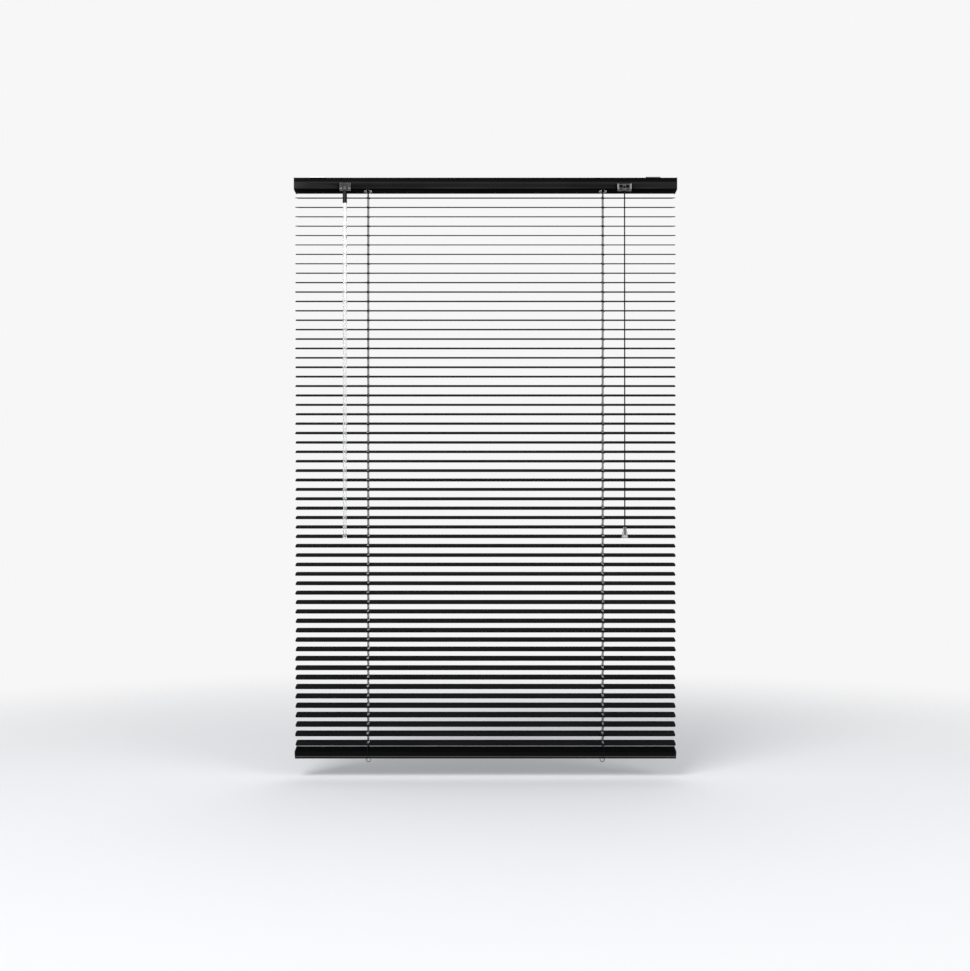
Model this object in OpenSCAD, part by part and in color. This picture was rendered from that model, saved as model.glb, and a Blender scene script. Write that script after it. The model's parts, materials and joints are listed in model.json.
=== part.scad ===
// 25 mm venetian blind: headrail with tilt and lift gear, slats on ladders, bottom rail.
// X runs along the slats, -Y faces the room, +Z is up. The origin is the middle of the
// top plane that the two mounting brackets are screwed to, and the blind hangs below it.

/* [Blind] */
// Width over the headrail's end caps
blind_w = 800; // [760:10:900]
// Number of slats
slat_count = 59; // [50:1:60]
// Height from one slat to the next
pitch = 19.7; // [19:0.1:21]
// Angle of the slats at rest, room-side edge down
rest_tilt = 20; // [0:1:40]

/* [Slats] */
// Width of a slat across its edges
slat_w = 25; // [24:0.5:25]
// Sheet thickness of a slat
slat_t = 0.3; // [0.3:0.05:0.5]
// Rise of the middle of a slat over its edges
slat_crown = 1.8; // [1:0.1:2.2]
// Radius of a slat's corners
slat_corner = 4; // [2:0.5:6]
// Width of the slot that a lift cord passes through
slot_w = 4.5; // [4:0.5:5]
// Length of that slot across the slat
slot_l = 12; // [10:0.5:14]

/* [Headrail] */
// Width and height of the headrail's U section
rail = 25; // [25:0.5:26]
// Sheet thickness of the headrail
rail_t = 0.8; // [0.6:0.1:1]
// Width of the in-turned lip on each upper edge
lip = 3; // [2.5:0.5:3]
// Thickness of each end cap's face
cap_t = 1.5; // [1:0.5:2]

/* [Ladders and tilt] */
// Distance of each ladder from the middle
ladder_x = 246; // [230:1:260]
// Distance of a ladder's strands from the slats' centre plane
strand_y = 13.3; // [13.2:0.1:13.5]
// Radius of a strand
strand_r = 0.6; // [0.4:0.1:0.6]
// Radius of a ladder's thin cross threads
rung_r = 0.3; // [0.2:0.05:0.3]
// Radius at which the ladder winds on its drum
drum_r = 7; // [6.5:0.1:7]
// Radius of the tilt rod
rod_r = 3; // [2.5:0.1:3]
// Lean of the tilter's worm and stem from the vertical
worm_lean = 30; // [29:1:31]

/* [Wand] */
// Position of the tilter and wand along the headrail
tilter_x = -292.5; // [-300:0.5:-285]
// Length of the wand below its connector
wand_l = 698; // [500:10:800]
// Radius of the six-sided wand over its corners
wand_r = 4; // [3.5:0.1:4.2]

/* [Cords] */
// Position of the cord lock along the headrail
lock_x = 289.5; // [285:0.5:295]
// Radius of a lift cord
cord_r = 0.7; // [0.6:0.1:0.7]
// Radius of the pull cord, in which both lift cords run together
pull_r = 1.4; // [1:0.1:1.4]

/* [Bottom rail] */
// Height of the bottom rail's section
foot_h = 16.5; // [12:0.5:16.5]
// Wall thickness of the bottom rail
foot_t = 0.8; // [0.6:0.1:1]
// Distance from the last slat's middle to the bottom rail's middle
foot_drop = 21; // [20.9:0.1:23]

/* [Brackets] */
// Distance between the two mounting brackets
bracket_span = 700; // [680:5:710]
// Distance between the two screw holes of a bracket
screw_span = 14; // [12:1:14]
// Radius of a screw hole
screw_r = 2.25; // [2:0.05:2.5]

/* [Hidden] */
// Slats that are joined in one node, spread evenly among the ones with their own node
shared_count = 22;
function is_shared(k) = (k * shared_count) % slat_count < shared_count;
function two_digits(n) = str(n < 10 ? "0" : "", n);
function slat_name(k) = str("slat_", two_digits(k + 1));
own_slats = [for (k = [0:slat_count - 1]) if (!is_shared(k)) k];

curve_fn = 48;
small_fn = 32;
eps = 0.01;
gap = 0.05;

// Heights, measured down from the mounting plane
plate_t = 1.2;
rail_top = -1.6;
rail_bottom = rail_top - rail;
rail_in = rail / 2 - rail_t;
floor_z = rail_bottom + rail_t;
rail_l = blind_w - 2 * cap_t;
rod_z = -16;
first_slat_z = rail_top - 37.8;
last_slat_z = first_slat_z - (slat_count - 1) * pitch;
foot_z = last_slat_z - foot_drop;
slat_l = blind_w - 5;
sides = [-1, 1];
black = [0.06, 0.06, 0.065];
dark_grey = [0.14, 0.14, 0.15];
steel = [0.62, 0.63, 0.65];
clear_grey = [0.78, 0.79, 0.8];

function slat_z(k) = first_slat_z - k * pitch;
function turned(p) = [p[0] * cos(rest_tilt) - p[1] * sin(rest_tilt),
                      p[0] * sin(rest_tilt) + p[1] * cos(rest_tilt)];
function unit(v) = v / norm(v);
function ring_tangent(pts, i) =
    unit(pts[min(i + 1, len(pts) - 1)] - pts[max(i - 1, 0)]);

// Round cord along a list of points; its rings stand square to the route.
module cord(pts, r, side_count, across) {
    n = len(pts);
    rings = [for (i = [0:n - 1]) let (t = ring_tangent(pts, i), u = unit(cross(t, across)),
             v = cross(t, u)) for (j = [0:side_count - 1]) let (a = 360 * j / side_count)
             pts[i] + r * (cos(a) * u + sin(a) * v)];
    walls = [for (i = [0:n - 2], j = [0:side_count - 1]) let (m = (j + 1) % side_count)
             [i * side_count + j, (i + 1) * side_count + j,
              (i + 1) * side_count + m, i * side_count + m]];
    first = [for (j = [0:side_count - 1]) j];
    last = [for (j = [side_count - 1:-1:0]) (n - 1) * side_count + j];
    polyhedron(points = rings, faces = concat([first], walls, [last]));
}

// Points of a quarter turn from direction a to direction b about centre c, in 3-D.
function bend(c, r, a, b, steps) =
    [for (i = [0:steps]) c + r * (cos(90 * i / steps) * a + sin(90 * i / steps) * b)];

// Something drawn round +Z, laid along the tilt rod at x.
module along_rod(x) {
    translate([x, 0, rod_z]) rotate([0, 90, 0]) children();
}

// ---------------------------------------------------------------- slats
slat_steps = 8;
crown_r = (slat_w * slat_w / 4 + slat_crown * slat_crown) / (2 * slat_crown);
crown_half = asin(slat_w / 2 / crown_r);
function crown_arc(r, from, to) = [for (i = [0:slat_steps]) let (a = from + (to - from) * i / slat_steps)
    [r * sin(a), r * cos(a) - crown_r + slat_crown / 2]];
slat_section = concat(crown_arc(crown_r, -crown_half, crown_half),
                      crown_arc(crown_r - slat_t, crown_half, -crown_half));

module rounded_bar(l, w, r, h) {
    for (x = sides, y = sides)
        translate([x * (l / 2 - r), y * (w / 2 - r), -h / 2]) cylinder(r = r, h = h, $fn = small_fn);
    cube([l - 2 * r, w, h], center = true);
    cube([l, w - 2 * r, h], center = true);
}

module slat_shape() {
    punch_h = 10;
    difference() {
        intersection() {
            rotate([90, 0, 90]) linear_extrude(slat_l, center = true) polygon(slat_section);
            rounded_bar(slat_l, slat_w + 2 * eps, slat_corner, punch_h);
        }
        for (x = sides) translate([x * ladder_x, 0, 0]) {
            for (y = sides) translate([0, y * (slot_l - slot_w) / 2, -punch_h / 2])
                cylinder(d = slot_w, h = punch_h, $fn = small_fn);
            cube([slot_w, slot_l - slot_w, punch_h], center = true);
        }
    }
}

module slat(k) {
    color(black) translate([0, 0, slat_z(k)]) rotate([rest_tilt, 0, 0]) slat_shape();
}

module shared_slats() {
    for (k = [0:slat_count - 1]) if (is_shared(k)) slat(k);
}

// ---------------------------------------------------------------- headrail
cradle_window = [8, 20];
stem_exit = [-13.5, -25];

module headrail() {
    mid_z = rail_top - rail / 2;
    front_cut_z = -18;
    color(dark_grey) difference() {
        translate([0, 0, mid_z]) cube([rail_l, rail, rail], center = true);
        translate([0, 0, mid_z + rail_t])
            cube([rail_l + 2 * eps, 2 * rail_in, rail], center = true);
        for (x = sides) translate([x * ladder_x, 0, rail_bottom])
            cube([cradle_window[0] + 2 * gap, cradle_window[1] + 2 * gap, 3 * rail_t], center = true);
        for (x = [tilter_x, lock_x]) translate([x - 6, -rail / 2 - eps, rail_bottom - eps])
            cube([12, 7, front_cut_z - rail_bottom]);
    }
    color(dark_grey) for (y = sides) translate([0, y * (rail_in - lip / 2 + eps), rail_top - rail_t / 2])
        cube([rail_l, lip, rail_t], center = true);
}

module end_caps() {
    plug_l = 8;
    plug_gap = 0.1;
    plug_drop = 1.2;
    color(black) for (x = sides) {
        translate([x * (blind_w - cap_t) / 2, 0, rail_top - rail / 2])
            cube([cap_t, rail, rail], center = true);
        translate([x * (rail_l / 2 - plug_l / 2 + eps), 0, 0]) {
            for (y = sides) translate([0, y * (rail_in - plug_gap - 1), rail_top - rail / 2 - plug_drop])
                cube([plug_l, 2, rail - 6 * rail_t - plug_drop], center = true);
            translate([0, 0, floor_z + plug_gap + 1])
                cube([plug_l, 2 * rail_in - 2 * plug_gap, 2], center = true);
        }
    }
}

// ---------------------------------------------------------------- brackets
module mounting_brackets() {
    plate = [30, 24];
    hook_y = rail_in - lip - 1;
    hook_h = 3.2;
    foot_gap = 0.4;
    color(steel) for (x = sides) translate([x * bracket_span / 2, 0, 0]) {
        difference() {
            translate([0, 0, -plate_t / 2]) cube([plate[0], plate[1], plate_t], center = true);
            for (y = sides) translate([0, y * screw_span / 2, -2 * plate_t])
                cylinder(r = screw_r, h = 3 * plate_t, $fn = curve_fn);
        }
        for (y = sides, side = sides) translate([side * 11, y * hook_y, -hook_h / 2 - plate_t / 2]) {
            cube([6, 1, hook_h + plate_t], center = true);
            translate([0, y * 1.1, -(hook_h + plate_t) / 2 + 0.5 - foot_gap]) cube([6, 3, 1], center = true);
        }
    }
}

// ---------------------------------------------------------------- ladder cradles
drum_w = 10;
hub_r = 4.2;
hub_w = 3;

module ladder_cradles() {
    wall_t = 1.6;
    wall_x = drum_w / 2 + 0.3 + wall_t / 2;
    wall_w = 2 * rail_in - 0.6;
    top_z = rod_z + hub_r + 2;
    base_t = 1.2;
    lip_z = rail_bottom + 0.2;
    leg = [1, 9, 1.1];
    tab = [4.8, leg[1], 0.9];
    tab_y = -2.5;
    window = [cradle_window[0] - 2, cradle_window[1] - 1, 8];
    cord_way = [40, 10, 3];
    color("silver") for (x = sides) translate([x * ladder_x, 0, 0]) difference() {
        union() {
            translate([0, 0, floor_z + gap + base_t / 2])
                cube([2 * wall_x + wall_t, wall_w, base_t], center = true);
            translate([0, 0, (floor_z + base_t + lip_z) / 2])
                cube([cradle_window[0], cradle_window[1], floor_z + base_t - lip_z], center = true);
            for (side = sides) translate([side * cradle_window[0] / 2, tab_y, rail_bottom - gap]) {
                translate([-side * leg[0] / 2, 0, -tab[2] / 2 + leg[2] / 2])
                    cube([leg[0], leg[1], tab[2] + leg[2]], center = true);
                translate([side * (tab[0] / 2 - leg[0]), 0, -tab[2] / 2]) cube(tab, center = true);
            }
            for (side = sides) translate([side * wall_x, 0, (floor_z + gap + top_z) / 2])
                cube([wall_t, wall_w, top_z - floor_z - gap], center = true);
        }
        translate([0, 0, floor_z]) cube(window, center = true);
        along_rod(0) cylinder(r = hub_r + gap, h = cord_way[0], center = true, $fn = curve_fn);
        translate([0, 0, rail_bottom + 3.1]) cube(cord_way, center = true);
    }
}

module tilt_rod() {
    rod_l = rail_l - 30;
    color(steel) along_rod(0) cylinder(r = rod_r, h = rod_l, center = true, $fn = curve_fn);
}

module ladder_drums() {
    flange_t = 0.8;
    flange_r = drum_r + 0.2;
    color("white") for (x = sides) along_rod(x * ladder_x) difference() {
        union() {
            cylinder(r = drum_r - strand_r, h = drum_w, center = true, $fn = curve_fn);
            cylinder(r = hub_r, h = drum_w + 2 * hub_w, center = true, $fn = curve_fn);
            for (z = sides) translate([0, 0, z * (drum_w - flange_t) / 2])
                cylinder(r = flange_r, h = flange_t, center = true, $fn = curve_fn);
        }
        cylinder(r = rod_r + gap, h = 2 * drum_w, center = true, $fn = curve_fn);
    }
}

// ---------------------------------------------------------------- tilter
// The stem's line leans toward the room and leaves the headrail at its lower front corner.
stem_dir = [-sin(worm_lean), -cos(worm_lean)];
worm_gap = 0.2;
worm_r = 2.2;
stem_r = 1.7;
mesh_reach = (-stem_exit[0]) * cos(worm_lean) - (rod_z - stem_exit[1]) * sin(worm_lean);
gear_r = mesh_reach - worm_r - worm_gap;
worm_back = (-stem_exit[0]) * sin(worm_lean) + (rod_z - stem_exit[1]) * cos(worm_lean);
ball_along = 10;
ball_r = 2.3;
neck_r = 0.9;
ball = stem_exit + ball_along * stem_dir;
gear_w = 6;
face_y = -rail / 2 - gap;

module along_stem() {
    translate([tilter_x, stem_exit[0], stem_exit[1]]) rotate([-worm_lean, 0, 0]) children();
}

// Passes through the cut in the headrail's front wall and joins a body to its front plate.
module wall_tab() {
    translate([0, -rail / 2, -22]) cube([11, 3, 7], center = true);
}

module tilter_housing() {
    body = [16, 2 * rail_in - 0.4, 19];
    plate = [23, 2.4, 16.6];
    plate_z = -13.8 - plate[2] / 2;
    rim = 1.2;
    pad = [4.2, 2, 2.2];
    pad_z = plate_z - 3.2;
    rib_x = 6.9;
    hood = [6.4, 6.6, 3.8];
    hood_lift = 0.8;
    hood_z = plate_z - plate[2] / 2 + hood_lift + hood[2] / 2;
    worm_room = 10.4;
    color(clear_grey) difference() {
        union() {
            translate([tilter_x, 0, floor_z + gap + body[2] / 2]) cube(body, center = true);
            difference() {
                translate([tilter_x, face_y - plate[1] / 2, plate_z]) cube(plate, center = true);
                translate([tilter_x, face_y - plate[1], plate_z])
                    cube([plate[0] - 2 * rim, rim, plate[2] - 2 * rim], center = true);
            }
            translate([tilter_x, face_y - plate[1] + rim / 2, 0]) {
                for (x = sides)
                    translate([x * (plate[0] - pad[0] - rim) / 2, 0, pad_z]) cube(pad, center = true);
                translate([rib_x, 0, plate_z]) cube([rim, rim, plate[2] - rim], center = true);
            }
            translate([tilter_x, face_y - hood[1] / 2, hood_z]) cube(hood, center = true);
            translate([tilter_x, face_y, hood_z + hood[2] / 2]) rotate([90, 0, 0])
                cylinder(d = hood[0], h = hood[1], $fn = curve_fn);
            translate([tilter_x, 0, 0]) wall_tab();
        }
        along_rod(tilter_x) {
            cylinder(r = gear_r + 0.4, h = gear_w + 1, center = true, $fn = curve_fn);
            cylinder(r = rod_r + gap, h = 40, center = true, $fn = curve_fn);
        }
        along_stem() {
            translate([0, 0, -ball_along])
                cylinder(r = stem_r + 0.1, h = ball_along + worm_back, $fn = small_fn);
            translate([0, 0, worm_back - worm_room / 2])
                cylinder(r = worm_r + worm_gap, h = worm_room, $fn = small_fn);
        }
    }
}

module tilter_gear() {
    teeth = 15;
    tooth_h = 0.9;
    step = 360 / teeth;
    outline = [for (i = [0:teeth - 1], c = [[0, -0.3], [1, -0.16], [1, 0.16], [0, 0.3]])
               let (a = (i + c[1]) * step) (gear_r - tooth_h + c[0] * tooth_h) * [cos(a), sin(a)]];
    color("white") along_rod(tilter_x) difference() {
        linear_extrude(gear_w, center = true) polygon(outline);
        cylinder(r = rod_r + gap, h = 2 * gear_w, center = true, $fn = curve_fn);
    }
}

module tilter_worm() {
    thread_l = 9;
    turns = 6;
    core_r = 1.5;
    neck_l = 5;
    color("white") along_stem() {
        translate([0, 0, neck_l - ball_along])
            cylinder(r = stem_r, h = worm_back + ball_along - neck_l - thread_l / 2, $fn = small_fn);
        translate([0, 0, -ball_along]) cylinder(r = neck_r, h = neck_l, $fn = small_fn);
        translate([0, 0, -ball_along]) sphere(r = ball_r, $fn = small_fn);
        translate([0, 0, worm_back - thread_l / 2])
            linear_extrude(thread_l, twist = -360 * turns, slices = 10 * turns)
                translate([worm_r - core_r, 0]) circle(r = core_r, $fn = 14);
    }
}

// ---------------------------------------------------------------- wand
sleeve_r = 4.5;
shank_r = 3.3;
sleeve_top = ball[1] - 4;
sleeve_bottom = sleeve_top - 19;

// A cup that holds the stem's ball, so that the wand can swing toward the room.
module wand_connector() {
    cup_r = 3.6;
    mouth_r = 2.15;
    inner_r = ball_r + 0.15;
    mouth_z = [1, 1.6];
    bore_l = 15;
    color(black) translate([tilter_x, ball[0], 0]) {
        translate([0, 0, ball[1]]) rotate_extrude($fn = curve_fn) polygon([
            [mouth_r, mouth_z[1]], [cup_r - 0.2, mouth_z[1]], [cup_r, mouth_z[0]], [cup_r, -5],
            [0, -5], [0, -inner_r], [inner_r, -inner_r], [inner_r, mouth_z[0] - 0.1], [mouth_r, mouth_z[0]]]);
        difference() {
            translate([0, 0, sleeve_bottom])
                cylinder(r = sleeve_r, h = sleeve_top - sleeve_bottom, $fn = curve_fn);
            translate([0, 0, sleeve_bottom - eps]) cylinder(r = shank_r + gap, h = bore_l, $fn = curve_fn);
        }
    }
}

module tilt_wand() {
    held = 14.5;
    color(clear_grey) translate([tilter_x, ball[0], sleeve_bottom - wand_l]) {
        cylinder(r = wand_r, h = wand_l - 2 * gap, $fn = 6);
        cylinder(r = shank_r, h = wand_l + held, $fn = 6);
        cylinder(r = wand_r + 0.4, h = 8, $fn = small_fn);
    }
}

// ---------------------------------------------------------------- cord lock
lock_plate = [29.4, 2.4, 15.4];
lock_plate_z = -15.85 - lock_plate[2] / 2;
nose = [9, 6, 5];
nose_z = lock_plate_z - lock_plate[2] / 2 + nose[2] / 2;
run_z = floor_z + 1.6;
exit_y = -16.2;
exit_z = -27.5;
roller_r = 2;
roller_l = 11.6;
roller_start = [-2.6, -21.2];

module cord_lock() {
    body = [18, 2 * rail_in - 0.4, 19];
    cavity = [12.4, 14.8, 20];
    cavity_floor = -23.8;
    channel = 4.4;
    channel_h = 3;
    channel_z = run_z - 0.15;
    window = [6.3, 2.4, 6.3];
    window_z = lock_plate_z + 2.5;
    slit = [6.3, 2.4, 2];
    slit_z = lock_plate_z - 3.8;
    bar = [2.6, 0.8, 11.2];
    bar_z = lock_plate_z + (lock_plate[2] - bar[2]) / 2;
    pocket_x = 6.6;
    color(clear_grey) difference() {
        union() {
            translate([lock_x, 0, floor_z + gap + body[2] / 2]) cube(body, center = true);
            translate([lock_x, face_y - lock_plate[1] / 2, lock_plate_z]) cube(lock_plate, center = true);
            translate([lock_x, face_y - nose[1] / 2, nose_z]) cube(nose, center = true);
            translate([lock_x, 0, 0]) wall_tab();
            translate([lock_x, face_y - lock_plate[1] - bar[1] / 2 + eps, bar_z])
                for (x = sides) translate([x * (lock_plate[0] - bar[0]) / 2, 0, 0]) cube(bar, center = true);
        }
        along_rod(lock_x) cylinder(r = rod_r + 0.4, h = 40, center = true, $fn = curve_fn);
        translate([lock_x, 0, cavity_floor + cavity[2] / 2]) cube(cavity, center = true);
        translate([lock_x - 4.5, 1.5, channel_z]) cube([10, 6, channel_h], center = true);
        translate([lock_x, -5, channel_z]) cube([channel, 20, channel_h], center = true);
        translate([lock_x, exit_y + 0.3, channel_z - 2]) cube([channel, 3.8, 12], center = true);
        for (x = sides) translate([lock_x + x * pocket_x, face_y - lock_plate[1], 0]) {
            translate([0, 0, window_z]) cube(window, center = true);
            translate([0, 0, slit_z]) cube(slit, center = true);
        }
    }
}

module cord_lock_roller() {
    color("gold") translate([lock_x, roller_start[0], roller_start[1]]) rotate([0, 90, 0])
        cylinder(r = roller_r, h = roller_l, center = true, $fn = curve_fn);
}

// ---------------------------------------------------------------- lift cords and pull cord
// Each lift cord rises through the slats, turns along the headrail's floor to the lock,
// turns forward there and goes down into the lock's nose, where the pull cord begins.
bend_r = 4;
bend_steps = 5;
across_all = [1, 1, 1];
function lift_route(x, run_y, lock_side) = let (end_x = lock_x + lock_side)
    concat(
        [[x, 0, foot_z], [x, 0, run_z - 2 * bend_r]],
        bend([x + bend_r, 0, run_z - bend_r], bend_r, [-1, 0, 0], [0, 0, 1], bend_steps),
        [[x + 4 * bend_r, run_y / 2, run_z]],
        bend([end_x - bend_r, run_y - bend_r, run_z], bend_r, [0, 1, 0], [1, 0, 0], bend_steps),
        bend([end_x, exit_y + bend_r, run_z - bend_r], bend_r, [0, 0, 1], [0, -1, 0], bend_steps));

module lift_cords() {
    knot_r = 2;
    color(black) {
        cord(lift_route(-ladder_x, 3, -0.75), cord_r, 8, across_all);
        cord(lift_route(ladder_x, 0, 0.75), cord_r, 8, across_all);
        for (x = sides)
            cord([for (z = sides) [x * ladder_x, 0, foot_z - 1.5 * z]], knot_r, 8, across_all);
    }
}

// The pull cord leans a little toward the room, so that its tassel hangs clear of the slats.
tassel_top = -731;
tassel_h = 23;
tassel_y = -20;
knot_z = -750;
lean_start = -34;
lean_end = -725;
function pull_y(z) = let (t = min(1, max(0, (z - lean_start) / (lean_end - lean_start))))
    exit_y + (tassel_y - exit_y) * t;
pull_route = [for (z = [exit_z, -34, -45, -60, -90, -130, -180, -240, -300, -360, -420, -480, -540,
                        -600, -650, -700, -725, -740, knot_z]) [lock_x, pull_y(z), z]];

module pull_cord() {
    color(black) cord(pull_route, pull_r, 8, across_all);
}

module cord_tassel() {
    top_r = 2.8;
    shoulder = [4.8, 8];
    base_r = 6.8;
    rim_h = 2;
    recess = [4.2, 7];
    knot_r = 2.6;
    bore_r = pull_r + 0.15;
    slot_h = 17;
    color(clear_grey) translate([lock_x, tassel_y, tassel_top]) difference() {
        rotate_extrude($fn = curve_fn) polygon([
            [bore_r, 0], [top_r, 0], [shoulder[0], -shoulder[1]], [base_r, rim_h - tassel_h],
            [base_r, -tassel_h], [recess[0], -tassel_h], [recess[0], recess[1] - tassel_h],
            [bore_r, recess[1] - tassel_h]]);
        translate([0, -base_r, -slot_h / 2 + eps]) cube([2 * bore_r, 2 * base_r, slot_h], center = true);
    }
    color(black) translate([lock_x, tassel_y, knot_z - 2]) cylinder(r = knot_r, h = 2, $fn = small_fn);
}

// ---------------------------------------------------------------- ladders
// A strand leaves its drum, spreads to the slats' edges, runs down past every slat and is
// tucked under the bottom rail, which it holds at the same tilt as the slats.
tuck = strand_r + 0.1;
function on_foot(p) = let (q = turned(p)) [q[0], q[1] + foot_z];
function strand_path(side) = concat(
    [[side * (drum_r + 0.1), rod_z], [side * 8.4, rail_bottom - 1], [side * strand_y, rail_bottom - 7]],
    side < 0 ? [[-strand_y, foot_z + 10], on_foot([-slat_w / 2 - tuck, foot_h / 2 + 0.5])]
             : [[strand_y, foot_z + 4], on_foot([slat_w / 2 + tuck, -4])],
    [on_foot([side * (slat_w / 2 + tuck), 1 - foot_h / 2]),
     on_foot([side * (slat_w / 2 - 0.3), -foot_h / 2 - tuck]),
     on_foot([side * 6.4, -foot_h / 2 - tuck])]);

module strands(side) {
    color(black) for (x = sides)
        cord([for (p = strand_path(side)) [x * ladder_x, p[0], p[1]]], strand_r, 8, [1, 0, 0]);
}

module front_strands() { strands(-1); }
module rear_strands() { strands(1); }

// The lower cross threads, which each slat lies on, one on the outer side of its slot.
module ladder_rungs() {
    rung_x = slot_w / 2 + 0.7;
    under = slat_crown / 2 + slat_t + 0.3 + rung_r;
    reach = (strand_y - strand_r - 0.1) / cos(rest_tilt);
    color(black) for (k = [0:slat_count - 1], x = sides)
        translate([x * (ladder_x + rung_x), 0, slat_z(k)]) rotate([rest_tilt, 0, 0])
            translate([0, -reach, -under]) rotate([-90, 0, 0]) cylinder(r = rung_r, h = 2 * reach, $fn = 16);
}

// ---------------------------------------------------------------- bottom rail
foot_corner = 1.5;
plug_r = 4;
foot_l = slat_l - 2;

module foot_outline(inset) {
    w = slat_w - 2 * inset;
    h = foot_h - 2 * inset;
    r = foot_corner - inset;
    square([w - 2 * r, h], center = true);
    square([w, h - 2 * r], center = true);
    for (x = sides, y = sides) translate([x * (w / 2 - r), y * (h / 2 - r)]) circle(r = r, $fn = small_fn);
}

module at_foot() {
    translate([0, 0, foot_z]) rotate([rest_tilt, 0, 0]) children();
}

module foot_bar(l, inset) {
    rotate([90, 0, 90]) linear_extrude(l, center = true) foot_outline(inset);
}

module bottom_rail() {
    color(black) at_foot() difference() {
        foot_bar(foot_l, 0);
        foot_bar(foot_l + 1, foot_t);
        for (x = sides) translate([x * ladder_x, 0, 0]) {
            translate([0, 0, foot_h / 2]) cube([slot_w, slot_l, 2 * foot_t + 1], center = true);
            translate([0, 0, -foot_h / 2]) cylinder(r = plug_r + gap, h = 4, center = true, $fn = curve_fn);
        }
    }
}

module bottom_rail_caps() {
    face_t = 1.5;
    inner_l = 10;
    color(black) at_foot() for (x = sides) {
        translate([x * (foot_l + face_t) / 2, 0, 0]) foot_bar(face_t, -0.2);
        translate([x * (foot_l / 2 - inner_l / 2 + eps), 0, 0]) foot_bar(inner_l, foot_t + 0.1);
    }
}

// Rounded strip that hangs from a plug's head: the outline of its hold-down loop.
module plug_loop(r, t, top, drop) {
    translate([0, 0, -drop]) rotate([90, 0, 0]) cylinder(r = r, h = t, center = true, $fn = curve_fn);
    translate([0, 0, -(drop + top) / 2]) cube([2 * r, t, drop - top], center = true);
}

module bottom_rail_plugs() {
    head_r = 5.8;
    head_t = 1.3;
    shank_l = 3.4;
    loop_r = 5.5;
    loop_drop = 9.5;
    loop_wall = 1.8;
    loop_t = 1.8;
    color("silver") at_foot() for (x = sides) translate([x * ladder_x, 0, -foot_h / 2]) {
        translate([0, 0, -head_t - gap]) cylinder(r = head_r, h = head_t, $fn = curve_fn);
        translate([0, 0, -head_t - gap]) cylinder(r = plug_r, h = head_t + shank_l, $fn = curve_fn);
        difference() {
            plug_loop(loop_r, loop_t, head_t / 2, loop_drop);
            plug_loop(loop_r - loop_wall, 2 * loop_t, head_t + loop_wall, loop_drop);
        }
    }
}

headrail();
end_caps();
mounting_brackets();
ladder_cradles();
tilt_rod();
ladder_drums();
tilter_housing();
tilter_gear();
tilter_worm();
wand_connector();
tilt_wand();
cord_lock();
cord_lock_roller();
lift_cords();
pull_cord();
cord_tassel();
front_strands();
rear_strands();
ladder_rungs();
bottom_rail();
bottom_rail_caps();
bottom_rail_plugs();
shared_slats();
for (k = own_slats) slat(k);
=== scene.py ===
import json
import math
import random

import bmesh
import bpy
from mathutils import Matrix, Vector


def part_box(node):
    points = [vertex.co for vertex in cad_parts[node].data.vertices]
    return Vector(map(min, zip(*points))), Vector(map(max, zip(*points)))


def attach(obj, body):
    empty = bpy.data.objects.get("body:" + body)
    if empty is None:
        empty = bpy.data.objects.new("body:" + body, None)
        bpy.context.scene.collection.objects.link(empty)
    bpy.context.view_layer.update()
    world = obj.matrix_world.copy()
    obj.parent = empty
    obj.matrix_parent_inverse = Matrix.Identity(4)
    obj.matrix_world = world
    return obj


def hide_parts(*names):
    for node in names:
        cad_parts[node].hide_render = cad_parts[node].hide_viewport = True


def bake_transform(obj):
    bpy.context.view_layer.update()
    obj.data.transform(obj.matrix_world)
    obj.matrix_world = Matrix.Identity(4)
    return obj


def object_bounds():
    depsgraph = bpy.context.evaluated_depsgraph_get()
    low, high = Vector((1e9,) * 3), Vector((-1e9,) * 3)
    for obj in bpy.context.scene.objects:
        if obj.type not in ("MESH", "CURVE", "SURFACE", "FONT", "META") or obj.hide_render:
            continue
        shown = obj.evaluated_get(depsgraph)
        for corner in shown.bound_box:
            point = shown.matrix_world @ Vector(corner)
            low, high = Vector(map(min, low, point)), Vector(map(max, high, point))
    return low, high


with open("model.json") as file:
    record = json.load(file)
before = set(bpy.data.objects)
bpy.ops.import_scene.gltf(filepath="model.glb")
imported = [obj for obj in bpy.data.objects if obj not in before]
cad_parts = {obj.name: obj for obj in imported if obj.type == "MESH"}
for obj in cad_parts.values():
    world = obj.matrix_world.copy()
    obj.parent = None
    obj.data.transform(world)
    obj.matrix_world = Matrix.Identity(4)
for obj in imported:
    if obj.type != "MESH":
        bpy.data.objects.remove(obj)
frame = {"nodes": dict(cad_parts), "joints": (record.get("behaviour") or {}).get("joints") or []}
cad_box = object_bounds()
MM = 0.001

# ---------------------------------------------------------------- camera
# The camera stands level in the room, two metres in front of the blind and at about
# two thirds of its drop, and is shifted up so that the whole blind is in view.
camera = bpy.data.objects.new("room_camera", bpy.data.cameras.new("room_camera"))
camera.location = (-0.001, -2.0125, -0.8435)
camera.rotation_euler = (math.radians(90), 0, 0)
camera.data.sensor_width = 36
camera.data.lens = 35.55
camera.data.shift_y = 0.0984
bpy.context.scene.collection.objects.link(camera)
bpy.context.scene.camera = camera

# ---------------------------------------------------------------- pull cord
# The two lift cords run on below the cord lock in one braided black polyester cord,
# which hangs a little clear of the slats and ends in a knot inside the tassel.
pull_x, pull_y = 289.5 * MM, -16.2 * MM
tassel_y = -20 * MM
pull_heights = [-27.5, -34, -45, -60, -90, -130, -180, -240, -300, -360, -420, -480, -540,
                -600, -650, -700, -725, -740, -750]
lean_from, lean_to = -34, -725
pull_route = []
for height in pull_heights:
    share = min(1, max(0, (height - lean_from) / (lean_to - lean_from)))
    pull_route.append(Vector((pull_x, pull_y + (tassel_y - pull_y) * share, height * MM)))
pull_diameter = 2.8 * MM


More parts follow.
